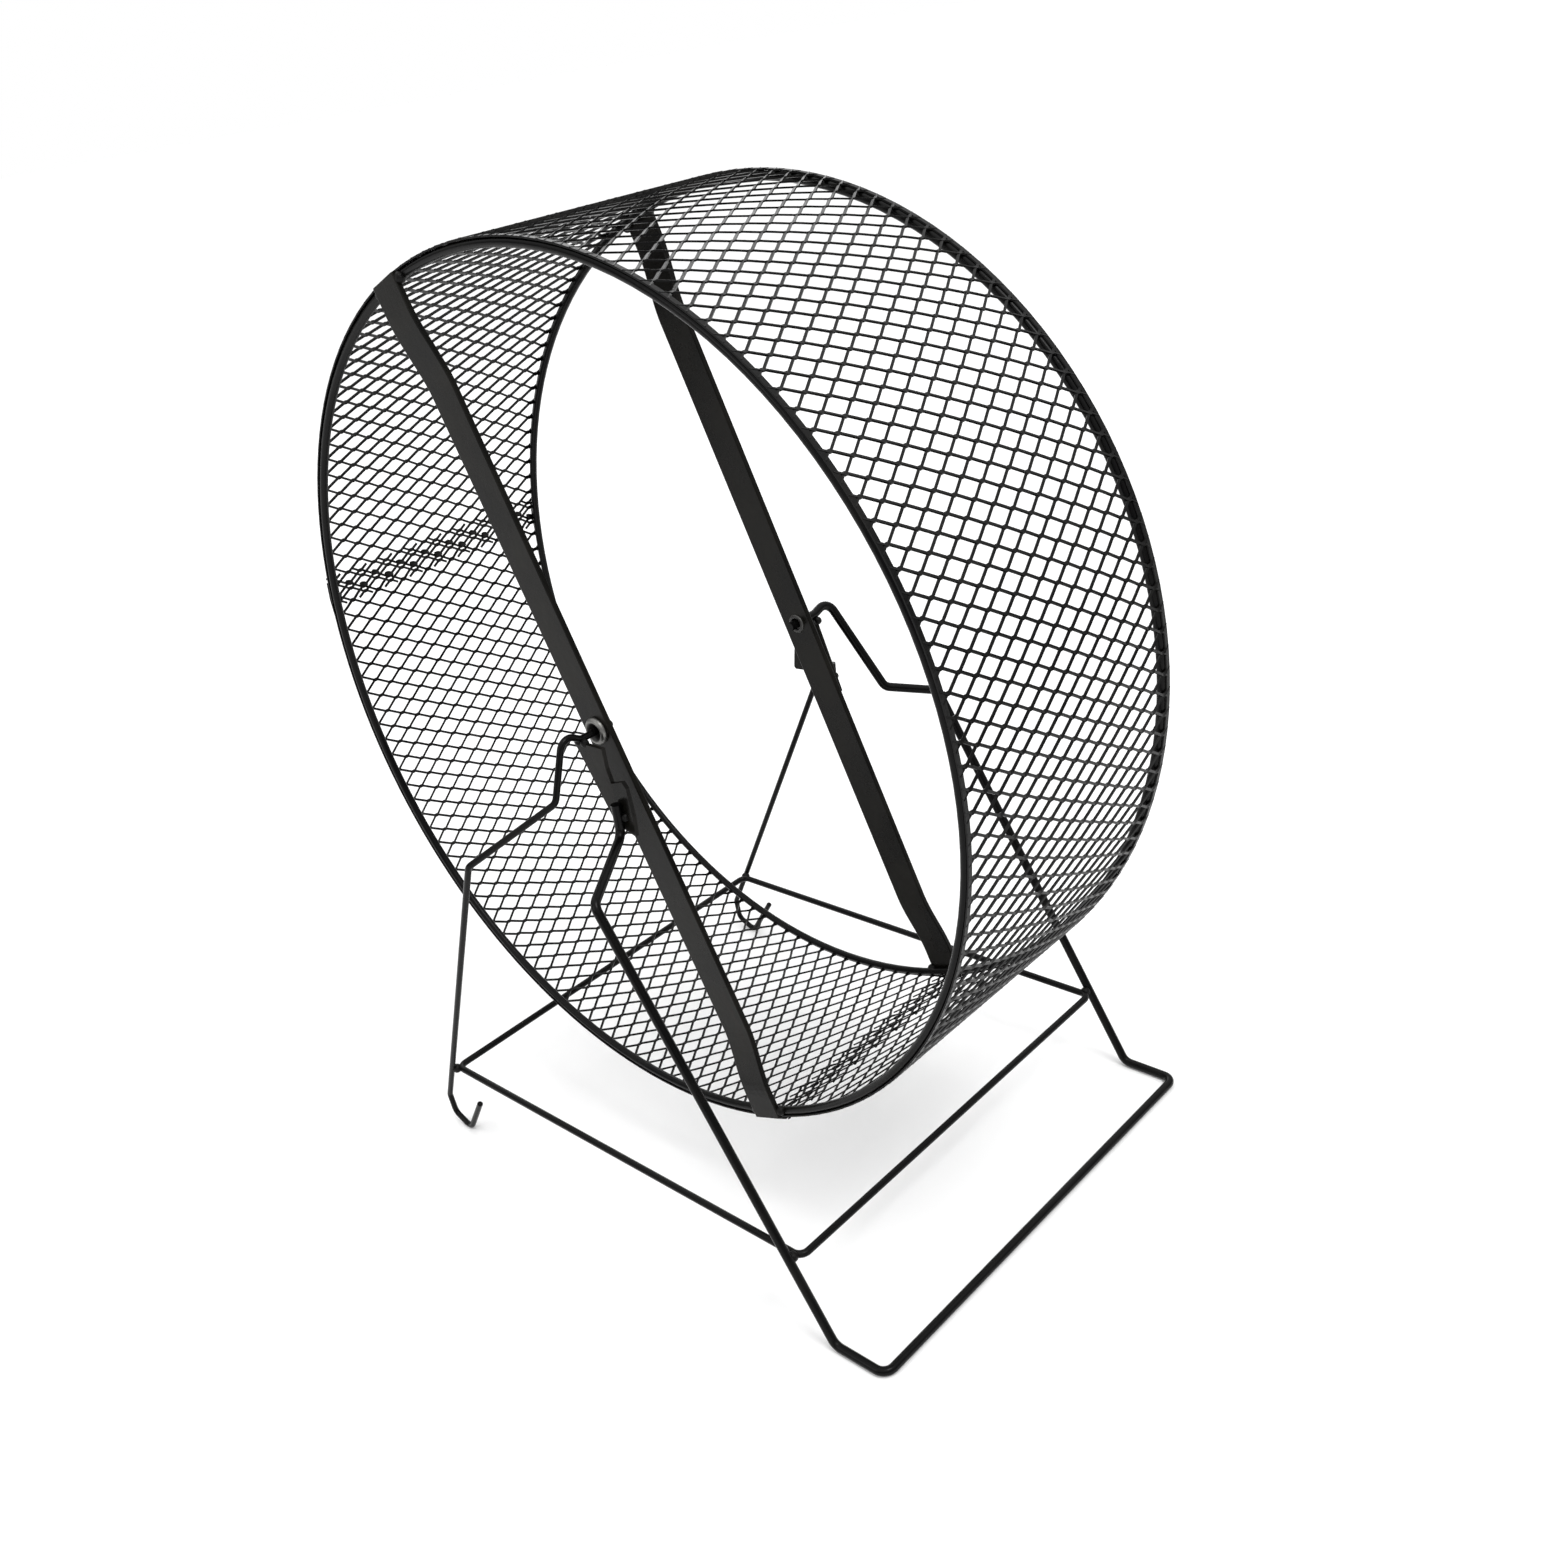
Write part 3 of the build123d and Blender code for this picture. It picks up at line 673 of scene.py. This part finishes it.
def mesh_sheet(name, first, last, lift):
    """One sheet between two angles in degrees, its ends lifted over the other sheet."""
    length = radians(last - first) * MESH_MIDDLE
    holder = linked_object(name + "_flat", bpy.data.meshes.new(name + "_flat"))
    modifier = holder.modifiers.new("expanded_mesh_sheet", "NODES")
    modifier.node_group = MESH_TREE
    for label, value in {
        "Sheet Length": length,
        "Cells Round": round(length / CELL_HEIGHT),
        "Cells Across": CELLS_ACROSS,
        "Cell Length": CELL_LENGTH,
        "Strand Width": STRAND_WIDTH,
        "Strand Thickness": STRAND_THICKNESS,
        "Strand Tilt": radians(STRAND_TILT),
        "Knuckle Length": KNUCKLE_LENGTH,
        "Edge Width": EDGE_WIDTH,
        "Edge Outside": EDGE_OUTSIDE,
        "Radius": MESH_MIDDLE,
        "Start Angle": radians(first),
        "Axle Height": AXLE_HEIGHT,
        "Lap Length": radians(LAP) * MESH_MIDDLE,
        "Lap Lift": lift,
    }.items():
        modifier[MESH_INPUTS[label]] = value
    solid = applied_mesh(name, holder)
    bpy.data.objects.remove(holder)
    return linked_object(name, solid)


long_sheet = mesh_sheet("running_mesh_long", LOW_SEAM - LAP / 2, HIGH_SEAM + 360 + LAP / 2, 0.0)
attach(long_sheet, "wheel")
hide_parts("tread_mesh_long")

short_sheet = mesh_sheet("running_mesh_short", HIGH_SEAM - LAP / 2, LOW_SEAM + LAP / 2, LAP_LIFT)
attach(short_sheet, "wheel")
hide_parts("tread_mesh_short")

# Seam welds: where the two sheets lap, the strands are pinched together and spot welded.
# Each seam has a zigzag row of small flat nuggets, half a mesh cell apart.
NUGGET_STEP = CELL_LENGTH / 2
NUGGETS = 17
NUGGET_SIZE = (0.0011, 0.0019, 0.0005)  # half sizes: round the wheel, along the axle, thickness
NUGGET_OFFSET = 0.55  # degrees to each side of the seam
NUGGET_RAISE = 0.0003  # above the middle of the sheet
NUGGET_LEAN = 0.6
NUGGET_SWELL = 0.25
SWELL_SCALE = 1.7

seam_welds = bmesh.new()
for seam in (LOW_SEAM, HIGH_SEAM):
    for count in range(NUGGETS):
        turn = radians(seam + NUGGET_OFFSET * (-1) ** count)
        out = Vector((cos(turn), 0, sin(turn)))
        around = Vector((-sin(turn), 0, cos(turn)))
        along = (count - (NUGGETS - 1) / 2) * NUGGET_STEP
        middle = Vector((0, along, AXLE_HEIGHT)) + out * (MESH_MIDDLE + NUGGET_RAISE)
        nugget = bmesh.ops.create_icosphere(seam_welds, subdivisions=2, radius=1.0)["verts"]
        for point in nugget:
            swell = 1.0 + NUGGET_SWELL * noise.noise(point.co * SWELL_SCALE + Vector((count, seam, 0)))
            lean = NUGGET_LEAN * point.co.y
            point.co = middle + swell * (
                around * ((point.co.x + lean) * NUGGET_SIZE[0])
                + Vector((0, point.co.y * NUGGET_SIZE[1], 0))
                + out * (point.co.z * NUGGET_SIZE[2])
            )
bmesh.ops.recalc_face_normals(seam_welds, faces=seam_welds.faces)
seam_nuggets = shaped_object("seam_weld_nuggets", seam_welds, weld_enamel, smooth=True)
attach(seam_nuggets, "wheel")
